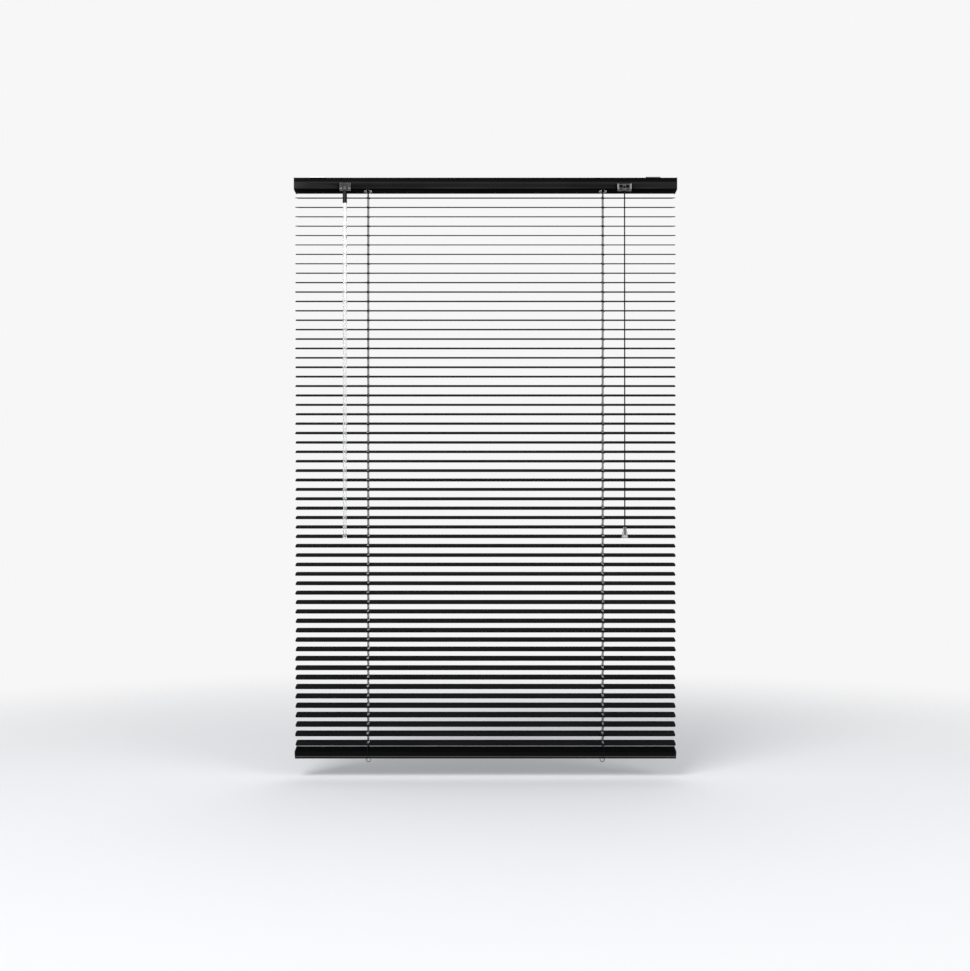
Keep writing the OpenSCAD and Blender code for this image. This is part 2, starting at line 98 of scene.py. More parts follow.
def along(route, step):
    """Points at even steps along a route, its two ends included."""
    lengths = [(b - a).length for a, b in zip(route, route[1:])]
    count = max(2, round(sum(lengths) / step))
    points, part, start = [], 0, 0.0
    for i in range(count + 1):
        distance = sum(lengths) * i / count
        while part < len(lengths) - 1 and distance > start + lengths[part]:
            start += lengths[part]
            part += 1
        share = min(1.0, (distance - start) / lengths[part])
        points.append(route[part].lerp(route[part + 1], share))
    return points


def tube(route, step, sides, radius_at):
    """A closed tube along a route; radius_at(distance, angle, point) shapes its surface."""
    points = along(route, step)
    shape = bmesh.new()
    across = (points[1] - points[0]).orthogonal().normalized()
    rings, distance = [], 0.0
    for i, point in enumerate(points):
        ahead = (points[min(i + 1, len(points) - 1)] - points[max(i - 1, 0)]).normalized()
        across = (across - ahead * across.dot(ahead)).normalized()
        beside = ahead.cross(across)
        if i:
            distance += (point - points[i - 1]).length
        ring = []
        for side in range(sides):
            angle = math.tau * side / sides
            out = across * math.cos(angle) + beside * math.sin(angle)
            ring.append(shape.verts.new(point + out * radius_at(distance, angle, point)))
        rings.append(ring)
    for low, high in zip(rings, rings[1:]):
        for side in range(sides):
            after = (side + 1) % sides
            shape.faces.new((low[side], low[after], high[after], high[side]))
    shape.faces.new(reversed(rings[0]))
    shape.faces.new(rings[-1])
    return shape


def piece_of(name, shape, *materials, sharp=40):
    """An object from a bmesh, smooth but for edges that turn more than sharp degrees."""
    bmesh.ops.recalc_face_normals(shape, faces=shape.faces)
    mesh = bpy.data.meshes.new(name)
    shape.to_mesh(mesh)
    shape.free()
    mesh.shade_smooth()
    mesh.set_sharp_from_angle(angle=math.radians(sharp))
    for material in materials:
        mesh.materials.append(material)
    made = bpy.data.objects.new(name, mesh)
    bpy.context.scene.collection.objects.link(made)
    return made


def finish_of(name, low, high, rough, patch, grain, depth, **fixed):
    """A finish: its colour wanders from low to high and its roughness over rough in patches
    of about patch metres, and bumps of about grain metres stand depth metres high."""
    material = bpy.data.materials.new(name)
    material.use_nodes = True
    nodes, links = material.node_tree.nodes, material.node_tree.links
    shader = nodes["Principled BSDF"]
    for socket, value in fixed.items():
        shader.inputs[socket.replace("_", " ")].default_value = value
    place = nodes.new("ShaderNodeTexCoord")
    patches = nodes.new("ShaderNodeTexNoise")
    patches.inputs["Scale"].default_value = 1 / patch
    patches.inputs["Detail"].default_value = 5
    colours = nodes.new("ShaderNodeValToRGB")
    colours.color_ramp.elements[0].position = 0.3
    colours.color_ramp.elements[0].color = (*low, 1)
    colours.color_ramp.elements[1].position = 0.7
    colours.color_ramp.elements[1].color = (*high, 1)
    gloss = nodes.new("ShaderNodeMapRange")
    gloss.inputs["From Min"].default_value = 0.3
    gloss.inputs["From Max"].default_value = 0.7
    gloss.inputs["To Min"].default_value = rough[0]
    gloss.inputs["To Max"].default_value = rough[1]
    bumps = nodes.new("ShaderNodeTexNoise")
    bumps.inputs["Scale"].default_value = 1 / grain
    bump = nodes.new("ShaderNodeBump")
    bump.inputs["Strength"].default_value = 1
    bump.inputs["Distance"].default_value = depth
    for noise in (patches, bumps):
        links.new(place.outputs["Object"], noise.inputs["Vector"])
    links.new(patches.outputs["Fac"], colours.inputs["Fac"])
    links.new(colours.outputs["Color"], shader.inputs["Base Color"])
    links.new(patches.outputs["Fac"], gloss.inputs["Value"])
    links.new(gloss.outputs["Result"], shader.inputs["Roughness"])
    links.new(bumps.outputs["Fac"], bump.inputs["Height"])
    links.new(bump.outputs["Normal"], shader.inputs["Normal"])
    return material


def braid(diameter, plait):
    """Radius of a braided cord: two sets of yarns wind round it and cross every plait metres."""
    yarns = 4
    relief = 0.14

    def radius_at(distance, angle, point):
        turn = math.pi * distance / plait
        ridge = abs(math.cos(yarns / 2 * angle + turn)) * abs(math.cos(yarns / 2 * angle - turn))
        return diameter / 2 * (1 - relief + relief * ridge)

    return radius_at


cord_black = finish_of("braided_polyester", (0.003, 0.003, 0.0035), (0.010, 0.010, 0.011), (0.7, 0.9),
                       4 * MM, 0.35 * MM, 0.05 * MM, Sheen_Weight=0.04, Specular_IOR_Level=0.1)
pull_shape = tube(pull_route, 0.6 * MM, 12, braid(pull_diameter, 2.6 * MM))
pull_braid = piece_of("pull_cord_braid", pull_shape, cord_black)
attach(pull_braid, "frame")
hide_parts("pull_cord")

# ---------------------------------------------------------------- tassel
# A bell of cloudy clear plastic over the cord's knot. It flares to a wide rim, has a recess
# below, in which the knot sits, and a slot in front, through which the cord was slipped in.
tassel_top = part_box("cord_tassel")[1].z
cord_hole = pull_diameter / 2 + 0.1 * MM
bell = [(0, 2.4), (-1.2, 3.0), (-3, 3.5), (-7, 4.2), (-12, 5.0), (-17, 5.9), (-20.5, 6.6), (-21.6, 6.8),
        (-22.6, 6.6), (-23, 6.1), (-22.6, 5.4), (-20, 4.7), (-17, 4.2), (-16, 3.4)]


def turned(profile, centre, sides, closed=False):
    """A solid of revolution about +Z from (height, radius) pairs, heights from the centre.
    Its ends are flat, or where closed is set the last pair joins the first round a bore."""
    shape = bmesh.new()
    rings = []
    for height, radius in profile:
        rings.append([shape.verts.new(centre + Vector((radius * math.cos(math.tau * i / sides),
                                                       radius * math.sin(math.tau * i / sides), height)))
                      for i in range(sides)])
    pairs = list(zip(rings, rings[1:]))
    if closed:
        pairs.append((rings[-1], rings[0]))
    else:
        shape.faces.new(rings[0])
        shape.faces.new(rings[-1])
    for upper, lower in pairs:
        for i in range(sides):
            after = (i + 1) % sides
            shape.faces.new((upper[i], upper[after], lower[after], lower[i]))
    return shape


def box_shape(low, high):
    """A plain block, for cutting."""
    shape = bmesh.new()
    middle, size = (Vector(low) + Vector(high)) / 2, Vector(high) - Vector(low)
    bmesh.ops.create_cube(shape, size=1, matrix=Matrix.Translation(middle) @ Matrix.Diagonal((*size, 1)))
    return shape


def cut_out(body, blocks):
    """Cuts blocks, given by their corners, out of a piece."""
    cutters = []
    for low, high in blocks:
        cutter = piece_of("cutter", box_shape(low, high))
        modifier = body.modifiers.new("cut", "BOOLEAN")
        modifier.object = cutter
        modifier.solver = "EXACT"
        cutters.append(cutter)
    graph = bpy.context.evaluated_depsgraph_get()
    mesh = bpy.data.meshes.new_from_object(body.evaluated_get(graph))
    body.modifiers.clear()
    body.data = mesh
    for cutter in cutters:
        bpy.data.objects.remove(cutter)


bell_profile = [(h * MM, r * MM) for h, r in bell]
bell_profile = [(0, cord_hole)] + bell_profile + [(-16 * MM, cord_hole)]
clear = finish_of("cloudy_clear_moulding", (0.50, 0.51, 0.52), (0.62, 0.63, 0.64), (0.12, 0.22),
                  12 * MM, 1.5 * MM, 0.01 * MM, Transmission_Weight=0.3, IOR=1.46)
tassel_shape = turned(bell_profile, Vector((pull_x, tassel_y, tassel_top)), 64, closed=True)
tassel = piece_of("bell_tassel", tassel_shape, clear, sharp=50)
slot_h = 17 * MM
past = 1 * MM
cut_out(tassel, [((pull_x - cord_hole, tassel_y - 7 * MM - past, tassel_top - slot_h),
                  (pull_x + cord_hole, tassel_y, tassel_top + past))])
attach(tassel, "frame")
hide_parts("cord_tassel")

knot_height = pull_heights[-1] * MM


def knot_radius(distance, angle, point):
    """An overhand knot pulled tight: a lumpy ball with two turns of cord round it."""
    share = min(1.0, distance / (3 * MM))
    swell = math.sin(math.pi * (0.08 + 0.84 * share))
    return (1.3 + 0.9 * swell + 0.22 * swell * math.sin(2 * angle + 9 * share)) * MM


knot_route = [Vector((pull_x, tassel_y, knot_height + z * MM)) for z in (1, -2)]
knot = piece_of("pull_cord_knot", tube(knot_route, 0.25 * MM, 20, knot_radius), cord_black)
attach(knot, "frame")

# ---------------------------------------------------------------- headrail
# A U of 0.8 mm steel sheet with in-turned lips, rolled with a shallow set-back band along
# the top of each wall and painted dark grey satin. The set-back band and the underside are
# painted near black, as painted shade. Its floor is pierced for the ladders and its front
# wall is notched for the tilter and the cord lock.
rail_low, rail_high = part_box("headrail")
rail_t = 0.8 * MM
lip = 3 * MM
band_h = 8.8 * MM
band_back = 0.35 * MM
corner_r = 1.1 * MM
foot_r = 2.8 * MM
under_h = 1.9 * MM


def corner(centre, radius, start, steps=5):
    """Points of a quarter circle that turns on from start degrees."""
    angles = [math.radians(start + 90 * i / steps) for i in range(steps + 1)]
    return [Vector((centre[0] + radius * math.cos(a), centre[1] + radius * math.sin(a))) for a in angles]


def rail_wall(front, top, bottom):
    """Outer outline of one wall, from the lip's inner edge down to the floor, y then z."""
    back = front + band_back
    step = top - band_h
    return ([Vector((front + rail_t + lip, top))]
            + corner((back + corner_r, top - corner_r), corner_r, 90)
            + [Vector((back, step + 0.3 * MM)), Vector((back + 0.05 * MM, step)),
               Vector((front + 0.05 * MM, step - 0.25 * MM)), Vector((front, step - 0.5 * MM))]
            + corner((front + foot_r, bottom + foot_r), foot_r, 180, steps=8))


def inset(outline, depth):
    """The outline moved inwards by depth, on the left of its direction."""
    moved = []
    for i, point in enumerate(outline):
        ahead = (outline[min(i + 1, len(outline) - 1)] - outline[max(i - 1, 0)]).normalized()
        moved.append(point + Vector((-ahead.y, ahead.x)) * depth)
    return moved


def extruded(section, low_x, high_x, band=None):
    """A closed section in y and z, drawn out along x. Where band is set, the faces above that
    height and underneath take the second material, which is painted shade."""
    shape = bmesh.new()
    low_z = min(p.y for p in section)
    ends = [[shape.verts.new((x, p.x, p.y)) for p in section] for x in (low_x, high_x)]
    for i in range(len(section)):
        after = (i + 1) % len(section)
        face = shape.faces.new((ends[0][i], ends[0][after], ends[1][after], ends[1][i]))
        heights = (section[i].y, section[after].y)
        if band and (min(heights) > band or max(heights) < low_z + under_h):
            face.material_index = 1
    shape.faces.new(ends[0])
    shape.faces.new(reversed(ends[1]))
    return shape


front_wall = rail_wall(rail_low.y, rail_high.z, rail_low.z)
rear_wall = [Vector((-p.x, p.y)) for p in reversed(front_wall)]
rail_outer = front_wall + rear_wall
rail_section = rail_outer + list(reversed(inset(rail_outer, rail_t)))
rail_paint = finish_of("dark_grey_rail_paint", (0.010, 0.010, 0.011), (0.014, 0.014, 0.015), (0.42, 0.5),
                       90 * MM, 0.5 * MM, 0.004 * MM, Specular_IOR_Level=0.1)
# Painted shade: a near-black copy of the rail paint for the set-back band and the underside.
rail_shade_paint = finish_of("painted_shade_rail_paint", (0.002, 0.002, 0.002), (0.003, 0.003, 0.003), (0.5, 0.6),
                       90 * MM, 0.5 * MM, 0.004 * MM, Specular_IOR_Level=0.04)
headrail = piece_of("rolled_headrail",
                    extruded(rail_section, rail_low.x, rail_high.x, band=rail_high.z - band_h - 0.3 * MM),
                    rail_paint, rail_shade_paint, sharp=35)
ladder_x = 246 * MM
tilter_x = -292.5 * MM
lock_x = pull_x
window_half = (4 * MM, 10 * MM)
notch_half, notch_depth, notch_h = 6 * MM, 6.5 * MM, 8.6 * MM
rail_holes = []
for x in (-ladder_x, ladder_x):
    rail_holes.append(((x - window_half[0], -window_half[1], rail_low.z - past),
                       (x + window_half[0], window_half[1], rail_low.z + 2 * past)))
for x in (tilter_x, lock_x):
    rail_holes.append(((x - notch_half, rail_low.y - past, rail_low.z - past),
                       (x + notch_half, rail_low.y + notch_depth, rail_low.z + notch_h)))
cut_out(headrail, rail_holes)
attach(headrail, "frame")
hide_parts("headrail")


# ---------------------------------------------------------------- end caps and brackets
# Black moulded caps close the headrail's ends. Two zinc plated steel clips, screwed to the
# ceiling of the window recess, hold its lips from above.
def refinish(node, material, edge=0.0):
    """Gives a CAD node its finish and, where edge is set, a small round on its edges."""
    part = frame["nodes"][node]
    for place in part.material_slots:
        place.material = material
    if edge:
        rounding = part.modifiers.new("rounding", "BEVEL")
        rounding.width = edge
        rounding.segments = 2
        rounding.limit_method = "ANGLE"
        rounding.angle_limit = math.radians(40)
        rounding.harden_normals = False


black_plastic = finish_of("black_moulded_plastic", (0.008, 0.008, 0.009), (0.014, 0.014, 0.015), (0.4, 0.55),
                          20 * MM, 0.5 * MM, 0.01 * MM, Specular_IOR_Level=0.2)
zinc = finish_of("zinc_plated_steel", (0.50, 0.51, 0.53), (0.66, 0.67, 0.68), (0.28, 0.45),
                 6 * MM, 0.3 * MM, 0.004 * MM, Metallic=1)
refinish("end_caps", black_plastic, 0.3 * MM)
refinish("mounting_brackets", zinc, 0.15 * MM)

# ---------------------------------------------------------------- tilt rod, drums and gear
# A drawn steel rod carries two nylon drums, on which the ladders hang, and the tilter's
# nylon gear. They lie in the headrail and show from above.
nylon = finish_of("natural_nylon", (0.70, 0.70, 0.67), (0.80, 0.80, 0.77), (0.35, 0.5),
                  15 * MM, 0.6 * MM, 0.01 * MM, Subsurface_Weight=0.1, Subsurface_Scale=0.002)
refinish("tilt_rod", zinc)
refinish("ladder_drums", nylon, 0.15 * MM)
refinish("tilter_gear", nylon)
refinish("tilter_worm", nylon)

# ---------------------------------------------------------------- ladder cradles
# White nylon cradles snap into the headrail's floor from above and carry the drums. Their
# feet show under the headrail on both sides of the ladder.
refinish("ladder_cradles", nylon, 0.15 * MM)

# ---------------------------------------------------------------- tilter and cord lock
# Both are boxes of milky clear plastic inside the headrail, with a plate and a hood or
# nose that stand in front of it, joined through a notch in the wall.
milky = finish_of("milky_plastic_with_painted_shade", (0.80, 0.81, 0.82), (0.95, 0.96, 0.97), (0.18, 0.32),
                  8 * MM, 0.8 * MM, 0.01 * MM, Transmission_Weight=0.08, IOR=1.5, Specular_IOR_Level=0.05)


def paint_light_along(material, direction, near, far, stops):
    """Multiplies a finish by a grey that follows the place along direction, near to far, given
    Paints light and shade into a finish: multiplies it by a grey that follows the place along
    direction, near to far, given as (share, grey) stops."""
    nodes, links = material.node_tree.nodes, material.node_tree.links
    shader = nodes["Principled BSDF"]
    colour = shader.inputs["Base Color"].links[0].from_socket
    place = nodes.new("ShaderNodeTexCoord")
    along = nodes.new("ShaderNodeVectorMath")
    along.operation = "DOT_PRODUCT"
    along.inputs[1].default_value = direction
    depth = nodes.new("ShaderNodeMapRange")
    depth.inputs["From Min"].default_value = near
    depth.inputs["From Max"].default_value = far
    greys = nodes.new("ShaderNodeValToRGB")
    ramp = greys.color_ramp.elements
    while len(ramp) < len(stops):
        ramp.new(0.5)
    for element, (share, grey) in zip(ramp, stops):
        element.position = share
        element.color = (grey, grey, grey, 1)
    mix = nodes.new("ShaderNodeMix")
    mix.data_type = "RGBA"
    mix.blend_type = "MULTIPLY"
    mix.inputs["Factor"].default_value = 1
    links.new(place.outputs["Object"], along.inputs[0])
    links.new(along.outputs["Value"], depth.inputs["Value"])
    links.new(depth.outputs["Result"], greys.inputs["Fac"])
    links.new(colour, mix.inputs[6])
    links.new(greys.outputs["Color"], mix.inputs[7])
    links.new(mix.outputs[2], shader.inputs["Base Color"])


# Painted light and shade: the milky finish is painted darker by depth. It is dark where the
# plastic is thin, as painted shade for the dark wall behind it, lighter where it is thick,
# black inside the wall, and milky again in the open channel behind it.
paint_light_along(milky, (0, 1, 0), -17 * MM, -9 * MM,
            [(0.0, 0.11), (0.15, 0.36), (0.21, 0.30), (0.25, 0.12), (0.315, 0.05), (0.36, 0.012),
             (0.425, 0.0), (0.75, 0.0), (0.9, 0.55)])
brass = finish_of("plain_brass", (0.62, 0.45, 0.20), (0.74, 0.58, 0.30), (0.25, 0.4),
                  4 * MM, 0.3 * MM, 0.01 * MM, Metallic=1)
refinish("tilter_housing", milky, 0.3 * MM)
refinish("cord_lock", milky, 0.3 * MM)
refinish("cord_lock_roller", brass, 0.2 * MM)

# ---------------------------------------------------------------- slats
# Thin aluminium slats, roll formed to a crown, with round corners and a slot for each lift
# cord, painted black satin. Each lies in its ladders a little differently.
rest_tilt = math.radians(20)
slat_w = 25 * MM
slat_t = 0.26 * MM
slat_crown = 1.8 * MM
slat_corner = 4 * MM
slot_w = 4.5 * MM
slot_half = 6 * MM
slat_count = 59
crown_r = (slat_w ** 2 / 4 + slat_crown ** 2) / (2 * slat_crown)
slat_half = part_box("slat_02")[1].x
joint_z = {joint["name"]: joint["pos_m"][2] for joint in frame["joints"] if "pos_m" in joint}
pitch = joint_z["slat_02_tilt"] - joint_z["slat_03_tilt"]
first_z = joint_z["slat_02_tilt"] + pitch
chance = random.Random(7)


def slat_stations():
    """Places along a slat as (x, half width, is in a slot), from its left end to its right."""
    corner_steps, slot_steps, outer_spans, inner_spans = 5, 8, 6, 12
    outer = slat_half - slat_corner - ladder_x
    rounded = []
    for i in range(corner_steps + 1):
        turn = math.radians(90 * i / corner_steps)
        x = -slat_half + slat_corner * (1 - math.sin(turn))
        rounded.append((x, slat_w / 2 - slat_corner * (1 - math.cos(turn)), False))
    across_slot = [-slot_w / 2 * math.cos(math.pi * i / slot_steps) for i in range(slot_steps + 1)]
    places = rounded[::-1]
    for i in range(1, outer_spans):
        places.append((-slat_half + slat_corner + i * outer / outer_spans, slat_w / 2, False))
    places += [(-ladder_x + dx, slat_w / 2, i < slot_steps) for i, dx in enumerate(across_slot)]
    for i in range(1, inner_spans):
        places.append((-ladder_x + i * 2 * ladder_x / inner_spans, slat_w / 2, False))
    places += [(ladder_x + dx, slat_w / 2, i < slot_steps) for i, dx in enumerate(across_slot)]
    for i in range(1, outer_spans):
        places.append((ladder_x + i * outer / outer_spans, slat_w / 2, False))
    return places + [(-x, half, False) for x, half, _ in rounded]


def slat_blade(turn, middle):
    """One slat's sheet, turned about X and moved to its middle."""
    edge_rows, slot_rows = 3, (3, 4)
    shape = bmesh.new()
    placed = Matrix.Translation(middle) @ Matrix.Rotation(turn, 4, "X")
    columns = []
    for x, half, in_slot in slat_stations():
        off = min(abs(abs(x) - ladder_x), slot_w / 2)
        band = slot_half - slot_w / 2 + math.sqrt(max(0.0, (slot_w / 2) ** 2 - off ** 2))
        rows = [-half + (half - band) * i / edge_rows for i in range(edge_rows)] + [-band, 0.0, band]
        rows += [band + (half - band) * i / edge_rows for i in range(1, edge_rows + 1)]
        column = []
        for y in rows:
            z = math.sqrt(crown_r ** 2 - y ** 2) - crown_r + slat_crown / 2
            column.append(shape.verts.new(placed @ Vector((x, y, z))))
        columns.append((column, in_slot))
    for (near, in_slot), (far, _) in zip(columns, columns[1:]):
        for row in range(len(near) - 1):
            if in_slot and row in slot_rows:
                continue
            shape.faces.new((near[row], far[row], far[row + 1], near[row + 1]))
    loose = [v for v in shape.verts if not v.link_faces]
    bmesh.ops.delete(shape, geom=loose, context="VERTS")
    bmesh.ops.recalc_face_normals(shape, faces=shape.faces)
    if sum(face.normal.z for face in shape.faces) < 0:
        bmesh.ops.reverse_faces(shape, faces=shape.faces)
    bmesh.ops.solidify(shape, geom=shape.faces[:], thickness=slat_t)
    return shape


slat_paint = finish_of("black_slat_paint", (0.008, 0.008, 0.0085), (0.012, 0.012, 0.0125), (0.32, 0.42),
                       120 * MM, 0.45 * MM, 0.003 * MM, Specular_IOR_Level=0.04)
slat_heights = [first_z - i * pitch for i in range(slat_count)]
for number, height in enumerate(slat_heights, start=1):
    turn = rest_tilt + math.radians(chance.uniform(-0.7, 0.7))
    middle = Vector((chance.uniform(-0.6, 0.6) * MM, 0, height))
    blade = piece_of(f"slat_blade_{number:02d}", slat_blade(turn, middle), slat_paint, sharp=45)
    node = f"slat_{number:02d}"
    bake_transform(blade)
    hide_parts(node if node in frame["nodes"] else "shared_slats")

# ---------------------------------------------------------------- ladders
# Each ladder is two twisted black strands, one in front of the slats and one behind, and a
# pair of thin cross threads for every slat, one under it and one over it beside its slot.
strand_y = 13.3 * MM
strand_r = 0.6 * MM
thread_r = 0.28 * MM
rail_bottom = rail_low.z
foot_z = next(joint["pos_m"][2] for joint in frame["joints"] if joint["name"] == "foot_tilt")
foot_h = 16.5 * MM
tuck = strand_r + 0.1 * MM
rod_z = -16 * MM


def on_foot(y, z):
    """A point of the bottom rail's own section, as y and z in the frame."""
    return (y * math.cos(rest_tilt) - z * math.sin(rest_tilt),
            y * math.sin(rest_tilt) + z * math.cos(rest_tilt) + foot_z)


def strand_route(x, side):
    """From the drum down past every slat to the bottom rail, and from there round under it."""
    low = foot_z + (10 if side < 0 else 20) * MM
    upper = on_foot(side * (slat_w / 2 + tuck), foot_h / 2 + 0.5 * MM if side < 0 else -4 * MM)
    hanging = [(side * 7.1 * MM, rod_z), (side * 7.9 * MM, rail_bottom - 1 * MM),
               (side * 7.9 * MM, rail_bottom - 5.8 * MM), (side * strand_y, rail_bottom - 8.6 * MM),
               (side * strand_y, low)] + [(14.2 * MM, foot_z + 8 * MM)] * (side > 0) + [upper]
    tucked = [upper, on_foot(side * (slat_w / 2 + tuck), 1 * MM - foot_h / 2),
              on_foot(side * (slat_w / 2 - 0.3 * MM), -foot_h / 2 - tuck),
              on_foot(side * 6.4 * MM, -foot_h / 2 - tuck)]
    return [[Vector((x, y, z)) for y, z in corners] for corners in (hanging, tucked)]


thread_under = slat_crown / 2 + 0.3 * MM + thread_r + 0.3 * MM
thread_over = slat_crown / 2 + thread_r + 0.15 * MM


def tie_height(side, offset):
    """Height over a slat's middle at which a cross thread meets a strand."""
    return side * strand_y * math.tan(rest_tilt) - offset / math.cos(rest_tilt)


def twisted(radius, side):
    """Radius of a twisted strand, with a small knot where each cross thread is tied in."""
    lay, relief = 2.4 * MM, 0.12
    knot_h, knot_l = 0.35 * MM, 0.7 * MM
    ties = [tie_height(side, offset) for offset in (thread_under, -thread_over)]
    knots = [z + tie for z in slat_heights for tie in ties]

    def radius_at(distance, angle, point):
        rope = radius * (1 - relief + relief * math.cos(2 * angle - math.tau * distance / lay))
        nearest = min(abs(point.z - z) for z in knots)
        return rope + knot_h * math.exp(-(nearest / knot_l) ** 2)

    return radius_at


ladder_places = ((-ladder_x, "left"), (ladder_x, "right"))
for side, name, first, second, from_z, to_z in (
        (-1, "front_strands", "frame", "front_ladder", -25.5 * MM, -42.5 * MM),
        (1, "rear_strands", "front_ladder", "rear_ladder", -6.5 * MM, -38.5 * MM)):
    for x, place in ladder_places:
        hanging, tucked = strand_route(x, side)
        strand = piece_of(f"{name}_{place}", tube(hanging, 0.9 * MM, 7, twisted(strand_r, side)), cord_black)
        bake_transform(strand)
        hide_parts(name)
        tail_shape = tube(tucked, 0.9 * MM, 7, twisted(strand_r, side))
        tail = piece_of(f"{name}_end_{place}", tail_shape, cord_black)
        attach(tail, "foot")


def thread_route(x, beside, z, offset):
    """A cross thread: from strand to strand, beside the slot and close over or under the slat."""
    turn = Matrix.Rotation(rest_tilt, 3, "X")
    ends = [Vector((x, side * strand_y, z + tie_height(side, offset))) for side in (-1, 1)]
    middle = []
    for i in range(7):
        y = slat_w * 0.46 * (i / 3 - 1)
        lift = math.sqrt(crown_r ** 2 - y ** 2) - crown_r if offset < 0 else 0.0
        spot = turn @ Vector((0, y, -offset + lift))
        middle.append(Vector((x + beside, spot.y, spot.z + z)))
    return [ends[0]] + middle + [ends[1]]


def plain_thread(distance, angle, point):
    """The even radius of a cross thread."""
    return thread_r


beside_slot = slot_w / 2 + 0.7 * MM
for x, place in ladder_places:
    threads = bmesh.new()
    for z in slat_heights:
        for beside, offset in ((beside_slot, thread_under), (-beside_slot, -thread_over)):
            one = tube(thread_route(x, beside, z, offset), 2.2 * MM, 6, plain_thread)
            mesh = bpy.data.meshes.new("thread")
            one.to_mesh(mesh)
            one.free()
            threads.from_mesh(mesh)
            bpy.data.meshes.remove(mesh)
    rungs = piece_of(f"cross_threads_{place}", threads, cord_black)
    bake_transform(rungs)
    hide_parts("ladder_rungs")

# ---------------------------------------------------------------- lift cords
# Two braided cords rise from inside the bottom rail through every slat's slot, turn over in
# the cradles and run along the headrail's floor to the cord lock.
cord_r = 0.7 * MM
run_z = rail_bottom + rail_t + 1.6 * MM
bend_r = 4 * MM


def quarter(centre, start, end, steps=5):
    """Points of a quarter turn of the cord about a centre."""
    points = []
    for i in range(steps + 1):
        turn = math.pi / 2 * i / steps
        outward = math.cos(turn) * Vector(start) + math.sin(turn) * Vector(end)
        points.append(Vector(centre) + bend_r * outward)
    return points


def lift_route(x, run_y, end_x):
    """Up from the bottom rail, along the headrail to the lock, forward and down into its nose."""
    return ([Vector((x, 0, foot_z)), Vector((x, 0, run_z - 2 * bend_r))]
            + quarter((x + bend_r, 0, run_z - bend_r), (-1, 0, 0), (0, 0, 1))
            + [Vector((x + 4 * bend_r, run_y / 2, run_z))]
            + quarter((end_x - bend_r, run_y - bend_r, run_z), (0, 1, 0), (1, 0, 0))
            + quarter((end_x, pull_y + bend_r, run_z - bend_r), (0, 0, 1), (0, -1, 0)))


for x, run_y, beside, place in ((-ladder_x, 3 * MM, -0.75 * MM, "left"), (ladder_x, 0, 0.75 * MM, "right")):
    lift_shape = tube(lift_route(x, run_y, lock_x + beside), 0.9 * MM, 8, braid(2 * cord_r, 1.8 * MM))
    lift = piece_of(f"lift_cord_{place}", lift_shape, cord_black)
    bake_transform(lift)
    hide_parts("lift_cords")

# ---------------------------------------------------------------- wand
# A six-sided wand of clear acrylic turns in a black sleeve, whose cup snaps on the ball of
# the tilter's stem. Its lower end is thicker, to hold it by.
wand_low, wand_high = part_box("tilt_wand")
wand_y = (wand_low.y + wand_high.y) / 2
wand_r = 4 * MM
shank_r = 3.3 * MM
sleeve_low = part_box("wand_connector")[0].z
acrylic = finish_of("clear_acrylic", (0.96, 0.97, 0.97), (0.98, 0.99, 0.99), (0.12, 0.22),
                    25 * MM, 2 * MM, 0.01 * MM, Transmission_Weight=0.78, IOR=1.49)
wand_top = sleeve_low - 0.15 * MM
wand_shape = turned([(wand_high.z, shank_r), (wand_top, shank_r), (wand_top, wand_r - 0.5 * MM),
                     (wand_top - 0.6 * MM, wand_r), (wand_low.z + 9 * MM, wand_r)],
                    Vector((tilter_x, wand_y, 0)), 6)
wand = piece_of("acrylic_wand", wand_shape, acrylic, sharp=25)
edges = wand.modifiers.new("soft_edges", "BEVEL")
edges.width = 0.35 * MM
edges.segments = 2
grip_r = (wand_high.x - wand_low.x) / 2
grip_shape = turned([(9 * MM, 3.4 * MM), (8 * MM, 4.1 * MM), (7 * MM, grip_r), (2 * MM, grip_r),
                     (0.6 * MM, grip_r - 0.5 * MM), (0, grip_r - 1.4 * MM)],
                    Vector((tilter_x, wand_y, wand_low.z)), 40)
grip = piece_of("wand_grip", grip_shape, acrylic)
for part in (wand, grip):
    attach(part, "wand")
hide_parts("tilt_wand")
refinish("wand_connector", black_plastic, 0.2 * MM)

# ---------------------------------------------------------------- bottom rail
# A closed rail of thin steel, painted as the slats, with black end caps. Pale plugs
# underneath hold the ladders' ends and carry the loops that hold the blind down.
cloudy = finish_of("cloudy_plug_plastic", (0.24, 0.25, 0.26), (0.34, 0.35, 0.36), (0.2, 0.35),
                   8 * MM, 0.8 * MM, 0.01 * MM, IOR=1.5)
foot_paint_and_highlight = finish_of("black_rail_paint_with_painted_highlight", (0.075, 0.075, 0.076), (0.09, 0.09, 0.091), (0.32, 0.42),
                       120 * MM, 0.45 * MM, 0.003 * MM, Specular_IOR_Level=0.04)
foot_up = Vector((0, -math.sin(rest_tilt), math.cos(rest_tilt)))
foot_middle = foot_z * math.cos(rest_tilt)
# Painted highlight: a light line is painted low along the rail's front and back, and the
# rest of the paint is darkened to near black.
paint_light_along(foot_paint_and_highlight, foot_up, foot_middle - foot_h / 2, foot_middle + foot_h / 2,
            [(0.0, 0.03), (0.22, 0.04), (0.26, 1.0), (0.36, 1.0), (0.40, 0.04), (0.7, 0.04), (1.0, 0.027)])
refinish("bottom_rail", foot_paint_and_highlight)
refinish("bottom_rail_caps", black_plastic)
refinish("bottom_rail_plugs", cloudy, 0.3 * MM)


